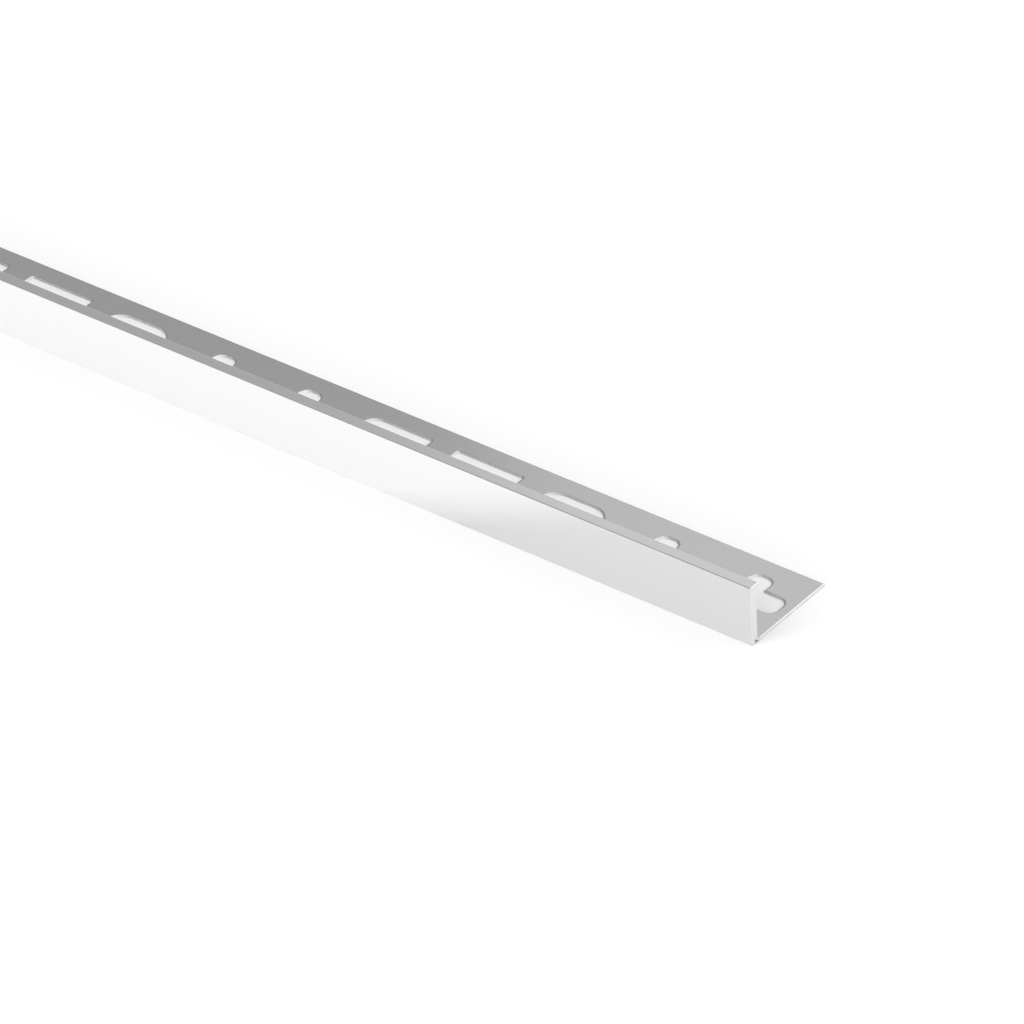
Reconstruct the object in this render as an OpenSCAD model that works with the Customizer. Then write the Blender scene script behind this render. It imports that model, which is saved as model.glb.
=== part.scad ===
// Tile edge trim: one extruded L-profile with a punched anchoring leg.
// X runs along the trim, Y from the visible face to the back edge of the leg, Z up.
// The origin is at the bottom centre of the overall box, and sizes are in millimetres.

/* [Stock] */
// Length of the trim as sold
trim_len = 1000; // [300:10:3000]

/* [Profile] */
// Height of the upright wall, which is the tile thickness that it finishes
wall_h = 12.5; // [8:0.5:20]
// Thickness of the upright wall
wall_t = 1.7; // [1.2:0.1:2.2]
// Width of the rim that shows along the top of the wall
rim_w = 2.4; // [2.3:0.1:3.2]
// Height of the rim's upright inner face
lip_h = 1.6; // [1:0.1:2.4]
// Overall width, from the visible face to the back edge of the leg
leg_w = 21.5; // [20:0.5:30]
// Thickness of the anchoring leg
leg_t = 0.6; // [0.5:0.1:1.2]

/* [Edges] */
// Radius of the two top edges of the rim
rim_r = 0.25; // [0.1:0.05:0.6]
// Radius of the bottom edge of the visible face
foot_r = 0.2; // [0.1:0.05:0.4]
// Radius of the fillet between wall and leg
root_r = 0.8; // [0.7:0.1:1.2]
// Thickness of the foot that the groove leaves under the visible face
foot_t = 1; // [0.7:0.1:1]
// Height of the groove behind the foot
groove_h = 0.8; // [0.4:0.1:0.9]

/* [Punched holes] */
// Distance between the centres of neighbouring holes
hole_pitch = 20.55; // [19:0.05:40]
// Distance from the cut end at +X to the centre of the first hole
first_hole = 9.9; // [9.5:0.1:20]
// Least unpunched length left at the other end
end_land = 2; // [2:1:30]
// Land between the holes and the back edge of the leg
back_land = 4; // [3:0.1:5]
// Size of a hole across the leg
hole_depth = 12.4; // [11:0.1:12.6]
// Length along the leg of a window with round corners
window_len = 14.2; // [12:0.2:17]
// Length along the leg of a window with sharp corners only
sharp_len = 15; // [12:0.2:17]
// Corner radius of a window's fully round end
window_r = 4; // [1:0.1:5]
// Corner radius of a window's half-round end
soft_r = 2.9; // [0.8:0.1:4]
// Corner radius of a window's sharp end
sharp_r = 0.5; // [0.2:0.1:0.8]
// Length of a cross along the leg
cross_len = 15.4; // [12:0.2:17]
// Width of a cross's arm along the leg
arm_w = 5.1; // [4.6:0.1:6]
// Width of a cross's arm across the leg
stem_w = 4.5; // [4.2:0.1:6]
// Corner radius at the ends of a cross's arms
arm_r = 1.9; // [0.5:0.1:2]

/* [Hidden] */
$fn = 48;

// Overshoot of a cutter past the face that it cuts
over = 1;

// One stroke of the punch in order from the +X end: a cross, or a window with its
// length, the corner radius of its -X end and that of its +X end
CROSS = [];
PUNCHES = [
    CROSS,
    CROSS,
    [window_len, window_r, window_r],
    [sharp_len, sharp_r, sharp_r],
    [window_len, soft_r, sharp_r],
];

hole_y = leg_w - back_land - hole_depth / 2;
punched_len = trim_len - first_hole - cross_len / 2 - end_land;
hole_count = floor(punched_len / hole_pitch) + 1;
rim_step = rim_w - wall_t;

// What rounding takes off a square corner at the origin
module corner(r) {
    difference() {
        translate([-over, -over]) square(r + over);
        translate([r, r]) circle(r);
    }
}

// Material in the inner corner at the origin, up to an arc that touches both axes
module fillet(r) {
    difference() {
        square(r);
        translate([r, r]) circle(r);
    }
}

// Groove between the foot and the outer arc of the bend where wall and leg meet
module groove() {
    bend_r = root_r + leg_t;
    bend_y = wall_t + root_r;
    difference() {
        translate([foot_t, -over]) square([bend_y - foot_t, groove_h + over]);
        translate([bend_y, bend_r]) circle(bend_r);
    }
}

// Cross-section: x is the depth from the visible face, y the height
module section() {
    difference() {
        union() {
            polygon([
                [0, 0],
                [leg_w, 0],
                [leg_w, leg_t],
                [wall_t, leg_t],
                [wall_t, wall_h - lip_h - rim_step],
                [rim_w, wall_h - lip_h],
                [rim_w, wall_h],
                [0, wall_h],
            ]);
            translate([wall_t, leg_t]) fillet(root_r);
        }
        corner(foot_r);
        translate([0, wall_h]) mirror([0, 1]) corner(rim_r);
        translate([rim_w, wall_h]) rotate(180) corner(rim_r);
        groove();
    }
}

// The half of a rounded rectangle that runs from x = 0 to its end at x = reach
module half_window(reach, depth, r) {
    translate([0, -depth / 2]) square([reach - r, depth]);
    translate([0, r - depth / 2]) square([reach, depth - 2 * r]);
    for (side = [-1, 1]) translate([reach - r, side * (depth / 2 - r)]) circle(r);
}

// A rounded rectangle along x with its own corner radius at each end
module window(len, depth, r_low, r_high) {
    half_window(len / 2, depth, r_high);
    mirror([1, 0]) half_window(len / 2, depth, r_low);
}

// Outline of one punched hole, centred on the origin
module hole(punch) {
    if (punch == CROSS) {
        window(cross_len, arm_w, arm_r, arm_r);
        rotate(90) window(hole_depth, stem_w, arm_r, arm_r);
    } else {
        window(punch[0], hole_depth, punch[1], punch[2]);
    }
}

module trim_profile() {
    color("silver") translate([-trim_len / 2, -leg_w / 2, 0]) difference() {
        rotate([90, 0, 90]) linear_extrude(trim_len) section();
        for (i = [0 : hole_count - 1])
            translate([trim_len - first_hole - i * hole_pitch, hole_y, -over])
                linear_extrude(leg_t + 2 * over) hole(PUNCHES[i % len(PUNCHES)]);
    }
}

trim_profile();
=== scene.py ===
import math

import bpy
from mathutils import Matrix, Vector
from mathutils.geometry import tessellate_polygon


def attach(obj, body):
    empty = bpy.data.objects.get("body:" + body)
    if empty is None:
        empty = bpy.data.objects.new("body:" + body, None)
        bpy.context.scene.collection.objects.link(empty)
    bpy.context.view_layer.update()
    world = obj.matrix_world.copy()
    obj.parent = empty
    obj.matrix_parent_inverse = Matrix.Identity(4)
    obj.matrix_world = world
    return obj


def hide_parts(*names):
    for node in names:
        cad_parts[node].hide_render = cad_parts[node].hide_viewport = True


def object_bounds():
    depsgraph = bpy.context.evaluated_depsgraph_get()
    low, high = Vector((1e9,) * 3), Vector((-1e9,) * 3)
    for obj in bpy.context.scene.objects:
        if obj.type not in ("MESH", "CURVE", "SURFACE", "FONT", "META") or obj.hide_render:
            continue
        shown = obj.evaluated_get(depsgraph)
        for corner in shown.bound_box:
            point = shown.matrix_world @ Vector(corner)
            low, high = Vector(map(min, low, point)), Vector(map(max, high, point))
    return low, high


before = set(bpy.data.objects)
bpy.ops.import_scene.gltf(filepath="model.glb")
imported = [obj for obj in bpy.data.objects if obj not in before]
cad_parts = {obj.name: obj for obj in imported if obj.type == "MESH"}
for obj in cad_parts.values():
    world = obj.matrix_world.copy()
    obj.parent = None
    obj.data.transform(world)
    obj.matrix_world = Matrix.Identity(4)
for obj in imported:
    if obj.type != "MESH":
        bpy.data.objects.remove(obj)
cad_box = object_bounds()

MM = 0.001

# Section of the profile, as in the part's source
WALL_H = 12.5 * MM
WALL_T = 1.7 * MM
RIM_W = 2.4 * MM
LIP_H = 1.6 * MM
LEG_T = 0.6 * MM
RIM_R = 0.25 * MM
FOOT_R = 0.2 * MM
ROOT_R = 0.8 * MM
FOOT_T = 1.0 * MM
GROOVE_H = 0.8 * MM

# Punched holes, as in the part's source
HOLE_PITCH = 20.55 * MM
FIRST_HOLE = 9.9 * MM
END_LAND = 2.0 * MM
BACK_LAND = 4.0 * MM
HOLE_DEPTH = 12.4 * MM
WINDOW_LEN = 14.2 * MM
SHARP_LEN = 15.0 * MM
WINDOW_R = 4.0 * MM
SOFT_R = 2.9 * MM
SHARP_R = 0.5 * MM
CROSS_LEN = 15.4 * MM
ARM_W = 5.1 * MM
STEM_W = 4.5 * MM
ARM_R = 1.9 * MM

# Finish of the edges, finer than the part's source holds: the round back edge of the leg,
# the broken edge of a sawn end, and a hole's edge, rolled over on top with its burr broken
TIP_R = 0.12 * MM
END_BREAK = 0.06 * MM
ROLL_W = 0.12 * MM
ROLL_H = 0.10 * MM
WIDE_ROLL_W = 0.55 * MM
WIDE_ROLL_H = 0.32 * MM
BURR_BREAK = 0.02 * MM

# Steps in each kind of arc
TIP_STEPS = 4
FOOT_STEPS = 5
PROFILE_STEPS = 8
CROSS_STEPS = 8
WINDOW_STEPS = 9
ROLL_STEPS = 6

# Shortest edge that counts in metres, and how finely corners are rounded to join faces
SHORTEST_EDGE = 1e-9
WELDS_PER_METRE = 1e7

# The trim lies along X with its sawn near end at +X and its visible face at low Y
LENGTH = cad_box[1].x - cad_box[0].x
LEG_W = cad_box[1].y - cad_box[0].y
NEAR_X = cad_box[1].x
MID_X = NEAR_X - LENGTH / 2
FRONT_Y = cad_box[0].y

# Places in the section, as depths from the visible face and heights
BEND_R = ROOT_R + LEG_T
BEND_Y = WALL_T + ROOT_R
TIP_Y = LEG_W - TIP_R
HOLE_Y = LEG_W - BACK_LAND - HOLE_DEPTH / 2
LIP_Z = WALL_H - LIP_H
STEP_Z = LIP_Z - (RIM_W - WALL_T)

UP = Vector((0, 0, 1))


# Outlines: a run is a list of points, each with its outward normal

def arc(centre, radius, start, end, steps, hollow=False):
    """Points of an arc from one angle to another in degrees, each with its outward normal."""
    run = []
    for i in range(steps + 1):
        angle = math.radians(start + (end - start) * i / steps)
        normal = Vector((math.cos(angle), math.sin(angle)))
        run.append((Vector(centre) + radius * normal, -normal if hollow else normal))
    return run


def straight(start, end):
    """The two ends of a straight edge, with the normal on the right of its direction."""
    way = (Vector(end) - Vector(start)).normalized()
    normal = Vector((way.y, -way.x))
    return [(Vector(start), normal), (Vector(end), normal)]


def edges_of(runs):
    """Short edges of a closed outline, as pairs of (point, normal, mitre) ends."""
    pairs = [pair for run in runs for pair in zip(run, run[1:])]
    pairs = [(a, b) for a, b in pairs if (a[0] - b[0]).length > SHORTEST_EDGE]
    edges = []
    for i, ((p, n_p), (q, n_q)) in enumerate(pairs):
        before = pairs[i - 1][1][1]
        after = pairs[(i + 1) % len(pairs)][0][1]
        mitre_p = (before + n_p) / (1 + before.dot(n_p))
        mitre_q = (after + n_q) / (1 + after.dot(n_q))
        edges.append(((p, n_p, mitre_p), (q, n_q, mitre_q)))
    return edges


def section_runs():
    """The section anticlockwise, in (depth from the visible face, height)."""
    groove_y = BEND_Y - math.sqrt(BEND_R**2 - (BEND_R - GROOVE_H) ** 2)
    bend_start = 360 + math.degrees(math.atan2(GROOVE_H - BEND_R, groove_y - BEND_Y))
    return [
        straight((BEND_Y, 0), (TIP_Y, 0)),
        arc((TIP_Y, TIP_R), TIP_R, -90, 0, TIP_STEPS),
        straight((LEG_W, TIP_R), (LEG_W, LEG_T - TIP_R)),
        arc((TIP_Y, LEG_T - TIP_R), TIP_R, 0, 90, TIP_STEPS),
        straight((TIP_Y, LEG_T), (BEND_Y, LEG_T)),
        arc((BEND_Y, BEND_R), ROOT_R, 270, 180, PROFILE_STEPS, hollow=True),
        straight((WALL_T, BEND_R), (WALL_T, STEP_Z)),
        straight((WALL_T, STEP_Z), (RIM_W, LIP_Z)),
        straight((RIM_W, LIP_Z), (RIM_W, WALL_H - RIM_R)),
        arc((RIM_W - RIM_R, WALL_H - RIM_R), RIM_R, 0, 90, PROFILE_STEPS),
        straight((RIM_W - RIM_R, WALL_H), (RIM_R, WALL_H)),
        arc((RIM_R, WALL_H - RIM_R), RIM_R, 90, 180, PROFILE_STEPS),
        straight((0, WALL_H - RIM_R), (0, FOOT_R)),
        arc((FOOT_R, FOOT_R), FOOT_R, 180, 270, FOOT_STEPS),
        straight((FOOT_R, 0), (FOOT_T, 0)),
        straight((FOOT_T, 0), (FOOT_T, GROOVE_H)),
        straight((FOOT_T, GROOVE_H), (groove_y, GROOVE_H)),
        arc((BEND_Y, BEND_R), BEND_R, bend_start, 270, PROFILE_STEPS),
    ]


def is_leg_face(edge):
    """Whether an edge of the section is the flat top or underside of the leg."""
    (p, normal, _), (q, _, _) = edge
    return normal.x == 0 and (p - q).length > LEG_W / 2


# Outlines of the punched holes, clockwise so that normals point into the metal

def rounded(x, y, radius, start, steps):
    """One round corner of a hole, clockwise, whose square corner would be at (x, y)."""
    middle = math.radians(start - 45)
    centre_x = x - math.copysign(radius, math.cos(middle))
    centre_y = y - math.copysign(radius, math.sin(middle))
    return arc((centre_x, centre_y), radius, start, start - 90, steps)


def sharp(x, y):
    """One sharp corner of a hole. Its normals are those of the edges that meet there."""
    return [(Vector((x, y)), None)]


def joined(corners):
    """Runs of a hole's corners and of the straight edges between them."""
    runs = []
    for i, corner in enumerate(corners):
        following = corners[(i + 1) % len(corners)]
        if len(corner) > 1:
            runs.append(corner)
        run = straight(corner[-1][0], following[0][0])
        runs.append([(point, -normal) for point, normal in run])
    return runs


def window_runs(length, r_low, r_high):
    """A window centred on the origin, with its own corner radius at each end."""
    x, y = length / 2, HOLE_DEPTH / 2
    return joined([
        rounded(-x, y, r_low, 180, WINDOW_STEPS),
        rounded(x, y, r_high, 90, WINDOW_STEPS),
        rounded(x, -y, r_high, 0, WINDOW_STEPS),
        rounded(-x, -y, r_low, -90, WINDOW_STEPS),
    ])


def cross_runs():
    """A cross centred on the origin, with round arm ends and sharp inner corners."""
    x, y = CROSS_LEN / 2, HOLE_DEPTH / 2
    w, h = STEM_W / 2, ARM_W / 2
    return joined([
        rounded(-w, y, ARM_R, 180, CROSS_STEPS),
        rounded(w, y, ARM_R, 90, CROSS_STEPS),
        sharp(w, h),
        rounded(x, h, ARM_R, 90, CROSS_STEPS),
        rounded(x, -h, ARM_R, 0, CROSS_STEPS),
        sharp(w, -h),
        rounded(w, -y, ARM_R, 0, CROSS_STEPS),
        rounded(-w, -y, ARM_R, -90, CROSS_STEPS),
        sharp(-w, -h),
        rounded(-x, -h, ARM_R, -90, CROSS_STEPS),
        rounded(-x, h, ARM_R, 180, CROSS_STEPS),
        sharp(-w, h),
    ])


# One stroke of the punch, in order from the near end
CROSS = edges_of(cross_runs())
PUNCHES = [
    CROSS,
    CROSS,
    edges_of(window_runs(WINDOW_LEN, WINDOW_R, WINDOW_R)),
    edges_of(window_runs(SHARP_LEN, SHARP_R, SHARP_R)),
    edges_of(window_runs(WINDOW_LEN, SOFT_R, SHARP_R)),
]


# Mesh of the trim

class Shell:
    """Faces with a normal at each corner, joined where their corners meet."""

    def __init__(self):
        self.index = {}
        self.verts = []
        self.faces = []
        self.normals = []
        self.slots = []

    def vert(self, point):
        """Number of the corner at a point, which is a new one if none is there yet."""
        key = tuple(round(c * WELDS_PER_METRE) for c in point)
        if key not in self.index:
            self.index[key] = len(self.verts)
            self.verts.append(tuple(point))
        return self.index[key]

    def face(self, points, normals, slot):
        """Adds a face, turned so that it looks along its normals."""
        ids = [self.vert(p) for p in points]
        if len(set(ids)) < len(ids):
            return
        looks = (points[1] - points[0]).cross(points[-1] - points[0])
        if looks.dot(sum(normals, Vector())) < 0:
            ids.reverse()
            normals = normals[::-1]
        self.faces.append(ids)
        self.normals.extend(n.normalized() for n in normals)
        self.slots.append(slot)

    def build(self, name, materials):
        """The object that the faces make."""
        mesh = bpy.data.meshes.new(name)
        mesh.from_pydata(self.verts, [], self.faces)
        for material in materials:
            mesh.materials.append(material)
        mesh.polygons.foreach_set("material_index", self.slots)
        mesh.polygons.foreach_set("use_smooth", [True] * len(self.faces))
        mesh.normals_split_custom_set(self.normals)
        obj = bpy.data.objects.new(name, mesh)
        bpy.context.scene.collection.objects.link(obj)
        return obj


SATIN, MILL, SAWN, SHEARED = range(4)


def finish_of(edge):
    """The visible face and the rim are satin. The rest is as the die left it."""
    middle = (edge[0][0] + edge[1][0]) / 2
    return SATIN if middle.x < FOOT_R or middle.y > LIP_Z else MILL


def place(x, section_point):
    """A point of the section at a place along the trim, in the row frame."""
    return Vector((x, FRONT_Y + section_point.x, section_point.y))


def across(normal):
    """A section normal in the row frame."""
    return Vector((0, normal.x, normal.y))


def hole_places():
    """Places along the trim of the holes that fit in its length."""
    punched = LENGTH - FIRST_HOLE - CROSS_LEN / 2 - END_LAND
    count = math.floor(punched / HOLE_PITCH) + 1
    return [NEAR_X - FIRST_HOLE - i * HOLE_PITCH for i in range(count)]


def sweep(shell, edges, stations):
    """Runs section edges along the trim."""
    for x0, x1 in zip(stations, stations[1:]):
        for edge in edges:
            (p, n_p, _), (q, n_q, _) = edge
            corners = [place(x0, p), place(x0, q), place(x1, q), place(x1, p)]
            normals = [across(n_p), across(n_q), across(n_q), across(n_p)]
            shell.face(corners, normals, finish_of(edge))


def close_end(shell, loop, sign):
    """Breaks the sharp edge of the sawn end on one side and closes it."""
    x_full = MID_X + sign * (LENGTH / 2 - END_BREAK)
    x_end = MID_X + sign * LENGTH / 2
    out = Vector((sign, 0, 0))
    outline = []
    for (p, n_p, mitre_p), (q, n_q, mitre_q) in loop:
        p_in = p - END_BREAK * mitre_p
        q_in = q - END_BREAK * mitre_q
        corners = [place(x_full, p), place(x_full, q), place(x_end, q_in), place(x_end, p_in)]
        slant_p = across(n_p) + out
        slant_q = across(n_q) + out
        shell.face(corners, [slant_p, slant_q, slant_q, slant_p], SAWN)
        outline.append(place(x_end, p_in))
    for tri in tessellate_polygon([outline]):
        shell.face([outline[i] for i in tri], [out] * 3, SAWN)


def plate(shell, x_low, x_high, z, looks, hole):
    """One stretch of the leg's top or underside, with its hole if it has one."""
    y_low = FRONT_Y + BEND_Y
    y_high = FRONT_Y + TIP_Y
    outer = [
        Vector((x_low, y_low, z)),
        Vector((x_high, y_low, z)),
        Vector((x_high, y_high, z)),
        Vector((x_low, y_high, z)),
    ]
    if not hole:
        shell.face(outer, [looks] * 4, MILL)
        return
    points = outer + hole
    for tri in tessellate_polygon([outer, hole]):
        shell.face([points[i] for i in tri], [looks] * 3, MILL)


def eased(value):
    """A share from 0 to 1 that starts and ends gently."""
    share = min(1, max(0, value))
    return share * share * (3 - 2 * share)


def punched_rings(mitre):
    """Section of a hole's edge as (offset, height, lean of the normal), from the top down.

    The punch sits off centre towards -X, so the edge is rolled over most on the +X side.
    """
    share = eased(mitre.normalized().x)
    roll_w = ROLL_W + share * (WIDE_ROLL_W - ROLL_W)
    roll_h = ROLL_H + share * (WIDE_ROLL_H - ROLL_H)
    rings = []
    for i in range(ROLL_STEPS + 1):
        angle = math.radians(90) * i / ROLL_STEPS
        offset = roll_w * (1 - math.sin(angle))
        height = LEG_T - roll_h * (1 - math.cos(angle))
        lean = Vector((-math.sin(angle) / roll_w, math.cos(angle) / roll_h)).normalized()
        rings.append((offset, height, lean))
    shear = Vector((-1, 0))
    burr = Vector((-1, -1)).normalized()
    rings += [(0, LEG_T - roll_h, shear), (0, BURR_BREAK, shear)]
    rings += [(0, BURR_BREAK, burr), (BURR_BREAK, 0, burr)]
    return rings


def punched_wall(shell, edges, centre):
    """The edge of a hole: rolled over on top, sheared below, with its burr broken.

    It returns the hole's outlines in the leg's top and underside.
    """

    def down_the_wall(point, normal, mitre):
        """Corners and normals from the top of the wall to its foot, at one point of the outline."""
        column = []
        for offset, height, lean in punched_rings(mitre):
            spot = point + offset * mitre
            corner = centre + Vector((spot.x, spot.y, height))
            column.append((corner, Vector((normal.x * lean.x, normal.y * lean.x, lean.y))))
        return column

    top, under = [], []
    for start, end in edges:
        near = down_the_wall(*start)
        far = down_the_wall(*end)
        for i in range(len(near) - 1):
            quad = [near[i], far[i], far[i + 1], near[i + 1]]
            slot = MILL if i < ROLL_STEPS else SHEARED
            shell.face([corner for corner, _ in quad], [normal for _, normal in quad], slot)
        top.append(near[0][0])
        under.append(near[-1][0])
    return top, under


def build_trim(materials):
    """The whole trim: its swept section, its two sawn ends, and its punched leg."""
    shell = Shell()
    loop = edges_of(section_runs())
    swept = [edge for edge in loop if not is_leg_face(edge)]
    holes = hole_places()
    stations = [NEAR_X - END_BREAK]
    stations += [x - HOLE_PITCH / 2 for x in holes]
    stations.append(NEAR_X - LENGTH + END_BREAK)
    sweep(shell, swept, stations)
    for sign in (-1, 1):
        close_end(shell, loop, sign)
    for i, (x_high, x_low) in enumerate(zip(stations, stations[1:])):
        top, under = None, None
        if i < len(holes):
            centre = Vector((holes[i], FRONT_Y + HOLE_Y, 0))
            top, under = punched_wall(shell, PUNCHES[i % len(PUNCHES)], centre)
        plate(shell, x_low, x_high, LEG_T, UP, top)
        plate(shell, x_low, x_high, 0, -UP, under)
    return shell.build("edge_trim", materials)


# Materials: cells are the noise cells to the metre along X, Y and Z. A pair of values is
# the range of a tone or of a roughness. A bump is its strength and its depth.

# Share of blue in the metal's grey, against red and green
COOL = 1.005

# Extruded faces: cells along the trim, and how far the lines change the tone and roughness
LINES_ALONG = 3
LINE_TONE = 0.02
LINE_ROUGH = 0.06
LINE_BUMP = (0.05, 0.01 * MM)
CLOUD_CELLS = (38, 160, 160)
CLOUD_ROUGH = (-0.02, 0.03)

# Sawn ends
SAW_CELLS = (900, 500, 9000)
SAW_TONE = (0.73, 0.835)
SAW_ROUGH = (0.28, 0.42)
SAW_BUMP = (0.2, 0.02 * MM)

# Walls of the holes: a lighter tone, which is painted light, starts and is full where a wall looks
# so far along +X; walls that look elsewhere keep a darker tone, which is painted shade
PAINTED_LIGHT_FACING = (0.1, 0.8)
STREAK_CELLS = (7000, 7000, 400)
STREAK_BUMP = (0.3, 0.02 * MM)
# Darker tone painted as shade on walls that don't look along +X, lighter tone painted as light on
# those that do, and the roughness of each side
PAINTED_SHADE_TONE = (0.52, 0.64)
SHADED_SIDE_ROUGH = (0.44, 0.60)
PAINTED_LIGHT_TONE = (0.86, 0.96)
LIT_SIDE_ROUGH = (0.16, 0.32)

# Floor
GRAIN_CELLS = (900, 900, 900)
FLOOR_TONE = (0.87, 0.89)
FLOOR_ROUGH = 0.9
FLOOR_SPECULAR = 0.1


class Nodes:
    """Short calls for building a node tree."""

    def __init__(self, tree):
        self.tree = tree

    def add(self, kind, **settings):
        """A new node with its settings."""
        node = self.tree.nodes.new(kind)
        for name, value in settings.items():
            setattr(node, name, value)
        return node

    def link(self, source, target):
        """Joins an output to an input."""
        self.tree.links.new(source, target)

    def stretched_noise(self, cells, detail):
        """Noise in object coordinates, with its own scale along each axis."""
        coordinates = self.add("ShaderNodeTexCoord")
        mapping = self.add("ShaderNodeMapping")
        mapping.inputs["Scale"].default_value = cells
        noise = self.add("ShaderNodeTexNoise")
        noise.inputs["Scale"].default_value = 1.0
        noise.inputs["Detail"].default_value = detail
        self.link(coordinates.outputs["Object"], mapping.inputs["Vector"])
        self.link(mapping.outputs["Vector"], noise.inputs["Vector"])
        return noise.outputs["Fac"]

    def ranged(self, value, low, high, start=0.0, end=1.0):
        """A value mapped from one range to another."""
        node = self.add("ShaderNodeMapRange")
        node.inputs["From Min"].default_value = start
        node.inputs["From Max"].default_value = end
        node.inputs["To Min"].default_value = low
        node.inputs["To Max"].default_value = high
        self.link(value, node.inputs["Value"])
        return node.outputs["Result"]

    def facing(self, start, end):
        """Share from 0 to 1 by how far a face of the object looks along +X."""
        coordinates = self.add("ShaderNodeTexCoord")
        split = self.add("ShaderNodeSeparateXYZ")
        self.link(coordinates.outputs["Normal"], split.inputs["Vector"])
        return self.ranged(split.outputs["X"], 0.0, 1.0, start, end)

    def mixed(self, factor, low, high):
        """A value between two values."""
        node = self.add("ShaderNodeMix", data_type="FLOAT")
        self.link(factor, node.inputs["Factor"])
        self.link(low, node.inputs["A"])
        self.link(high, node.inputs["B"])
        return node.outputs["Result"]

    def bump(self, height, strength, depth):
        """A normal that follows a height."""
        node = self.add("ShaderNodeBump")
        node.inputs["Strength"].default_value = strength
        node.inputs["Distance"].default_value = depth
        self.link(height, node.inputs["Height"])
        return node.outputs["Normal"]

    def blend(self, factor, low, high):
        """A colour between two colours."""
        node = self.add("ShaderNodeMix", data_type="RGBA")
        node.inputs["A"].default_value = low
        node.inputs["B"].default_value = high
        self.link(factor, node.inputs["Factor"])
        return node.outputs["Result"]


def new_material(name):
    """A new material, with calls for its node tree and its shader."""
    material = bpy.data.materials.new(name)
    material.use_nodes = True
    nodes = Nodes(material.node_tree)
    shader = material.node_tree.nodes["Principled BSDF"]
    return material, nodes, shader


def grey(level, blue=1.0):
    """A grey, with its own share of blue."""
    return (level, level, level * blue, 1)


def extruded(name, level, rough, fineness):
    """Extruded face: fine lines along the trim, and a soft cloud of handling marks."""
    material, nodes, shader = new_material(name)
    lines = nodes.stretched_noise((LINES_ALONG, fineness, fineness), detail=3)
    cloud = nodes.stretched_noise(CLOUD_CELLS, detail=4)
    tone = nodes.blend(lines, grey(level - LINE_TONE, COOL), grey(level + LINE_TONE, COOL))
    blur = nodes.add("ShaderNodeMath", operation="ADD")
    nodes.link(nodes.ranged(lines, rough, rough + LINE_ROUGH), blur.inputs[0])
    nodes.link(nodes.ranged(cloud, *CLOUD_ROUGH), blur.inputs[1])
    shader.inputs["Metallic"].default_value = 1.0
    nodes.link(tone, shader.inputs["Base Color"])
    nodes.link(blur.outputs["Value"], shader.inputs["Roughness"])
    nodes.link(nodes.bump(lines, *LINE_BUMP), shader.inputs["Normal"])
    return material


def sawn_aluminium():
    """Cut end: close saw lines across the section."""
    material, nodes, shader = new_material("sawn_aluminium")
    lines = nodes.stretched_noise(SAW_CELLS, detail=2)
    tone = nodes.blend(lines, grey(SAW_TONE[0], COOL), grey(SAW_TONE[1], COOL))
    shader.inputs["Metallic"].default_value = 1.0
    nodes.link(tone, shader.inputs["Base Color"])
    nodes.link(nodes.ranged(lines, *SAW_ROUGH), shader.inputs["Roughness"])
    nodes.link(nodes.bump(lines, *SAW_BUMP), shader.inputs["Normal"])
    return material


def sheared_aluminium_painted_light():
    """Wall of a punched hole: streaks in the direction of the punch.

    Walls that look along +X get a lighter tone, which is painted light, and a smoother finish; the
    others get a darker tone, which is painted shade, and a rougher finish.
    """
    material, nodes, shader = new_material("sheared_aluminium_painted_light")
    streaks = nodes.stretched_noise(STREAK_CELLS, detail=3)
    # Share of painted light: walls that look along +X are painted lighter, the others darker as
    # painted shade
    painted_light_share = nodes.facing(*PAINTED_LIGHT_FACING)
    painted_shade_tone = nodes.ranged(streaks, *PAINTED_SHADE_TONE)
    painted_light_tone = nodes.ranged(streaks, *PAINTED_LIGHT_TONE)
    shaded_side_rough = nodes.ranged(streaks, *SHADED_SIDE_ROUGH)
    lit_side_rough = nodes.ranged(streaks, *LIT_SIDE_ROUGH)
    shader.inputs["Metallic"].default_value = 1.0
    # Tone mixed from painted shade to painted light by where the wall looks
    nodes.link(nodes.mixed(painted_light_share, painted_shade_tone, painted_light_tone), shader.inputs["Base Color"])
    nodes.link(nodes.mixed(painted_light_share, shaded_side_rough, lit_side_rough), shader.inputs["Roughness"])
    nodes.link(nodes.bump(streaks, *STREAK_BUMP), shader.inputs["Normal"])
    return material


def floor_paint():
    """Pale, dull floor with a fine grain."""
    material, nodes, shader = new_material("pale_floor")
    grain = nodes.stretched_noise(GRAIN_CELLS, detail=3)
    tone = nodes.blend(grain, grey(FLOOR_TONE[0]), grey(FLOOR_TONE[1]))
    nodes.link(tone, shader.inputs["Base Color"])
    shader.inputs["Roughness"].default_value = FLOOR_ROUGH
    shader.inputs["Specular IOR Level"].default_value = FLOOR_SPECULAR
    return material


trim = build_trim([
    extruded("satin_aluminium", level=0.735, rough=0.22, fineness=5200),
    extruded("mill_aluminium", level=0.62, rough=0.18, fineness=2600),
    sawn_aluminium(),
    sheared_aluminium_painted_light(),
])
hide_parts("trim_profile")
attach(trim, "root")


# Floor, set a hair below the trim so that their faces don't coincide

FLOOR_HALF = 30.0
FLOOR_Z = -0.005 * MM


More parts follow.
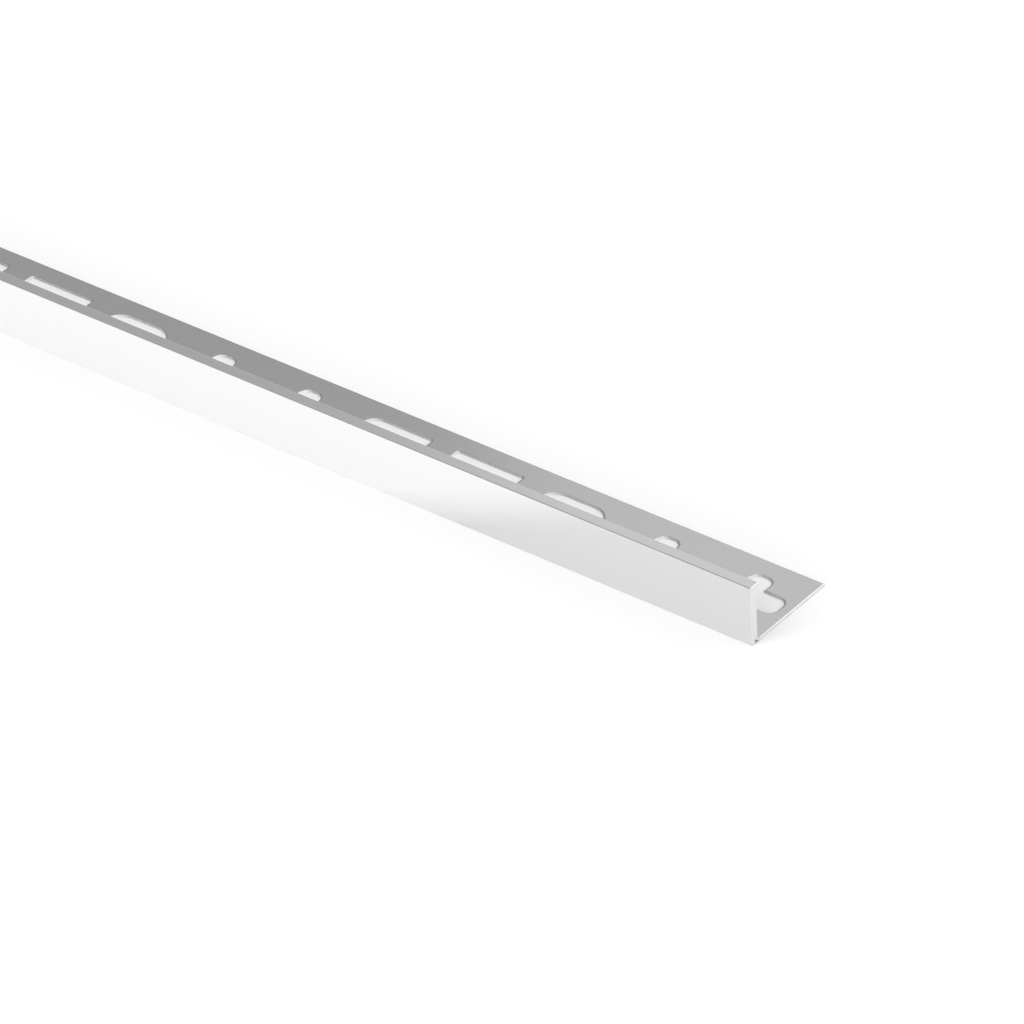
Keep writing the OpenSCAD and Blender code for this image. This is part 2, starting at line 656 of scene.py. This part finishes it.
def pale_floor():
    """The plain floor that the trim lies on."""
    corners = [
        (-FLOOR_HALF, -FLOOR_HALF, FLOOR_Z),
        (FLOOR_HALF, -FLOOR_HALF, FLOOR_Z),
        (FLOOR_HALF, FLOOR_HALF, FLOOR_Z),
        (-FLOOR_HALF, FLOOR_HALF, FLOOR_Z),
    ]
    mesh = bpy.data.meshes.new("floor")
    mesh.from_pydata(corners, [], [(0, 1, 2, 3)])
    mesh.materials.append(floor_paint())
    floor = bpy.data.objects.new("floor", mesh)
    bpy.context.scene.collection.objects.link(floor)


pale_floor()


# Light: places and sizes are in metres, and places are given from the near end of the
# visible face

NEAR_END = Vector((NEAR_X, FRONT_Y, 0))
SUN_DISTANCE = 3


def aim(obj, target):
    """Turns a light so that it shines at a target."""
    obj.rotation_mode = "QUATERNION"
    obj.rotation_quaternion = (target - obj.location).to_track_quat("-Z", "Y")


def card(name, at, target, size, radiance, shape="RECTANGLE"):
    """A flat card of even light, mirrored in the metal but casting none on the floor."""
    light = bpy.data.lights.new(name, "AREA")
    light.shape = shape
    light.size, light.size_y = size
    area = size[0] * size[1]
    if shape == "ELLIPSE":
        area *= math.pi / 4
    light.energy = radiance * math.pi * area
    obj = bpy.data.objects.new(name, light)
    bpy.context.scene.collection.objects.link(obj)
    obj.location = NEAR_END + Vector(at)
    obj.visible_camera = False
    obj.visible_diffuse = False
    aim(obj, NEAR_END + Vector(target))


def soft_sun(name, source, width, strength):
    """Even light over the whole floor from a wide, distant source, not mirrored in the metal."""
    light = bpy.data.lights.new(name, "SUN")
    light.angle = math.radians(width)
    light.energy = strength
    obj = bpy.data.objects.new(name, light)
    bpy.context.scene.collection.objects.link(obj)
    obj.location = NEAR_END + SUN_DISTANCE * Vector(source)
    obj.visible_glossy = False
    aim(obj, NEAR_END)


def studio_sky(lean, dark, bright, bright_from):
    """Surroundings that are dim against one direction and grow lighter along it.

    They are fully bright from a given share of that direction on.
    """
    world = bpy.data.worlds.new("studio")
    bpy.context.scene.world = world
    world.use_nodes = True
    nodes = Nodes(world.node_tree)
    coordinates = nodes.add("ShaderNodeTexCoord")
    along = nodes.add("ShaderNodeVectorMath", operation="DOT_PRODUCT")
    along.inputs[1].default_value = Vector(lean).normalized()
    nodes.link(coordinates.outputs["Generated"], along.inputs[0])
    level = nodes.ranged(along.outputs["Value"], dark, bright, -1.0, bright_from)
    background = world.node_tree.nodes["Background"]
    background.inputs["Color"].default_value = (1, 1, 1, 1)
    nodes.link(level, background.inputs["Strength"])


studio_sky(lean=(1, 0, 0), dark=0.35, bright=0.74, bright_from=0.2)
soft_sun("key", source=(0, -0.70, 0.70), width=70, strength=2.45)
card("back_card", at=(-0.064, 0.30, 0.28), target=(-0.064, 0, 0), size=(0.5, 0.4), radiance=0.294)
card("end_card", at=(0.45, 0.45, 0.32), target=(-0.06, 0, 0), size=(0.5, 0.5), radiance=1.2)
card("top_card", at=(0.36, -0.28, 0.65), target=(-0.06, 0, 0), size=(0.5, 0.5), radiance=0.7)

# Round cards at floor level, which the far stretch of the visible face mirrors. Each is a
# little wider than the one below it, so that the edge of their light is soft. They lie a
# hair apart, because cards in one plane don't add up.
FRONT_CARDS = 4
FRONT_AT = Vector((-0.136, -0.116, 0))
FRONT_WIDTH = 0.2540
FRONT_GROWTH = 0.0055
FRONT_GAP = 0.02 * MM
FRONT_RADIANCE = 0.0738

for i in range(FRONT_CARDS):
    width = FRONT_WIDTH + FRONT_GROWTH * i
    at = FRONT_AT + FRONT_GAP * i * UP
    card(f"front_card_{i}", at, at + UP, (width, width), FRONT_RADIANCE, "ELLIPSE")


# Camera, fitted to the photograph

AZIMUTH = math.radians(39.731)
ELEVATION = math.radians(35.444)
ROLL = math.radians(3.238)
DISTANCE = 1.25732
AIM = NEAR_END + Vector((-0.05955, 0.00832, 0))
FOCAL_PX = 7000
IMAGE_PX = 1024
SENSOR_MM = 36
CLIP_NEAR = 0.01
CLIP_FAR = 100


def photo_camera():
    """The camera at the photograph's viewing angle."""
    forward = Vector((
        -math.sin(AZIMUTH) * math.cos(ELEVATION),
        math.cos(AZIMUTH) * math.cos(ELEVATION),
        -math.sin(ELEVATION),
    ))
    level = Vector((math.cos(AZIMUTH), math.sin(AZIMUTH), 0))
    plumb = forward.cross(level)
    right = math.cos(ROLL) * level + math.sin(ROLL) * plumb
    down = math.cos(ROLL) * plumb - math.sin(ROLL) * level
    data = bpy.data.cameras.new("photo_camera")
    data.sensor_width = SENSOR_MM
    data.lens = FOCAL_PX * SENSOR_MM / IMAGE_PX
    data.clip_start = CLIP_NEAR
    data.clip_end = CLIP_FAR
    camera = bpy.data.objects.new("photo_camera", data)
    bpy.context.scene.collection.objects.link(camera)
    turn = Matrix((right, -down, -forward)).transposed()
    camera.matrix_world = Matrix.Translation(AIM - DISTANCE * forward) @ turn.to_4x4()
    bpy.context.scene.camera = camera


photo_camera()

bpy.context.scene.view_settings.view_transform = "Standard"
